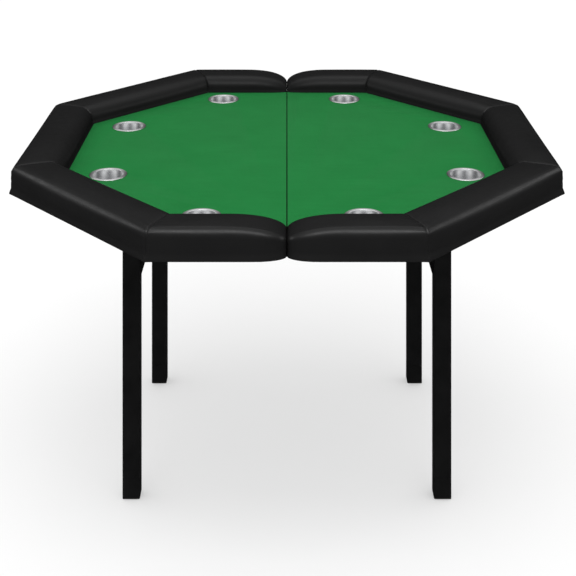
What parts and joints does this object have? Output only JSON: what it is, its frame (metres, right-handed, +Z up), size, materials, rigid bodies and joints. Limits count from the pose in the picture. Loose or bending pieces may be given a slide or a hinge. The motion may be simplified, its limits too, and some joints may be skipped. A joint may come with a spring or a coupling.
{
  "type": "folding poker table",
  "caption": "Octagonal folding card table: green felt top in hinged halves, padded black rail, drop-in steel cup holders and folding square legs.",
  "frame": {"origin": "on the floor under the centre of the octagon", "axes": "+Z up, +Y along the fold line towards the far side, +X to the right"},
  "size_m": [1.22, 1.22, 0.7245],
  "materials": {
    "felt": "fine woven green playing cloth, matt",
    "vinyl": "black upholstery vinyl, fine grain, satin sheen",
    "plywood": "plywood and pine, painted black where they show underneath",
    "cup_steel": "polished stainless steel",
    "leg_steel": "black powder coat, satin",
    "zinc_steel": "zinc-plated steel",
    "plastic": "black moulded plastic"
  },
  "bodies": {
    "right_half": {"right_board": "plywood", "right_felt": "felt", "right_rail_rim": "plywood", "right_rail_padding": "vinyl", "right_fold_batten": "plywood", "right_end_cup_near": "cup_steel", "right_end_cup_far": "cup_steel", "right_side_cup_near": "cup_steel", "right_side_cup_far": "cup_steel", "near_hinge_leaf_right": "zinc_steel", "near_hinge_pin": "zinc_steel", "middle_hinge_leaf_right": "zinc_steel", "middle_hinge_pin": "zinc_steel", "far_hinge_leaf_right": "zinc_steel", "far_hinge_pin": "zinc_steel", "right_near_leg_bracket": "leg_steel", "right_near_pivot_pin": "zinc_steel", "right_far_leg_bracket": "leg_steel", "right_far_pivot_pin": "zinc_steel"},
    "left_half": {"left_board": "plywood", "left_felt": "felt", "left_rail_rim": "plywood", "left_rail_padding": "vinyl", "left_fold_batten": "plywood", "left_end_cup_near": "cup_steel", "left_end_cup_far": "cup_steel", "left_side_cup_near": "cup_steel", "left_side_cup_far": "cup_steel", "near_hinge_leaf_left": "zinc_steel", "middle_hinge_leaf_left": "zinc_steel", "far_hinge_leaf_left": "zinc_steel", "left_near_leg_bracket": "leg_steel", "left_near_pivot_pin": "zinc_steel", "left_far_leg_bracket": "leg_steel", "left_far_pivot_pin": "zinc_steel"},
    "right_near_leg": {"right_near_leg_tube": "leg_steel", "right_near_leg_gusset": "leg_steel", "right_near_foot_sleeve": "plastic", "right_near_foot_glide": "plastic"},
    "right_near_lock": {"right_near_lock_knob": "plastic"},
    "right_far_leg": {"right_far_leg_tube": "leg_steel", "right_far_leg_gusset": "leg_steel", "right_far_foot_sleeve": "plastic", "right_far_foot_glide": "plastic"},
    "right_far_lock": {"right_far_lock_knob": "plastic"},
    "left_near_leg": {"left_near_leg_tube": "leg_steel", "left_near_leg_gusset": "leg_steel", "left_near_foot_sleeve": "plastic", "left_near_foot_glide": "plastic"},
    "left_near_lock": {"left_near_lock_knob": "plastic"},
    "left_far_leg": {"left_far_leg_tube": "leg_steel", "left_far_leg_gusset": "leg_steel", "left_far_foot_sleeve": "plastic", "left_far_foot_glide": "plastic"},
    "left_far_lock": {"left_far_lock_knob": "plastic"}
  },
  "joints": [
    {"name": "table_fold", "type": "hinge", "parent": "right_half", "child": "left_half", "pos_m": [0, 0, 0.5875], "axis": [0, -1, 0], "range_deg": [0, 180]},
    {"name": "right_near_leg_fold", "type": "hinge", "parent": "right_half", "child": "right_near_leg", "pos_m": [0.3395, -0.248, 0.6115], "axis": [0.9816, 0.1908, 0], "range_deg": [0, 90]},
    {"name": "right_near_lock_pull", "type": "slide", "parent": "right_half", "child": "right_near_lock", "axis": [0.9816, 0.1908, 0], "range_m": [0, 0.006]},
    {"name": "right_far_leg_fold", "type": "hinge", "parent": "right_half", "child": "right_far_leg", "pos_m": [0.3305, 0.243, 0.6115], "axis": [-0.9816, -0.1908, 0], "range_deg": [0, 90]},
    {"name": "right_far_lock_pull", "type": "slide", "parent": "right_half", "child": "right_far_lock", "axis": [0.9816, 0.1908, 0], "range_m": [0, 0.006]},
    {"name": "left_near_leg_fold", "type": "hinge", "parent": "left_half", "child": "left_near_leg", "pos_m": [-0.3395, -0.248, 0.6115], "axis": [0.9816, 0.1908, 0], "range_deg": [0, 90]},
    {"name": "left_near_lock_pull", "type": "slide", "parent": "left_half", "child": "left_near_lock", "axis": [-0.9816, -0.1908, 0], "range_m": [0, 0.006]},
    {"name": "left_far_leg_fold", "type": "hinge", "parent": "left_half", "child": "left_far_leg", "pos_m": [-0.3305, 0.243, 0.6115], "axis": [-0.9816, -0.1908, 0], "range_deg": [0, 90]},
    {"name": "left_far_lock_pull", "type": "slide", "parent": "left_half", "child": "left_far_lock", "axis": [-0.9816, -0.1908, 0], "range_m": [0, 0.006]}
  ],
  "couplings": [
    {"joint": "right_near_leg_fold", "follows": "table_fold", "ratio": 0.5},
    {"joint": "right_far_leg_fold", "follows": "table_fold", "ratio": 0.5},
    {"joint": "left_near_leg_fold", "follows": "table_fold", "ratio": 0.5},
    {"joint": "left_far_leg_fold", "follows": "table_fold", "ratio": 0.5}
  ]
}
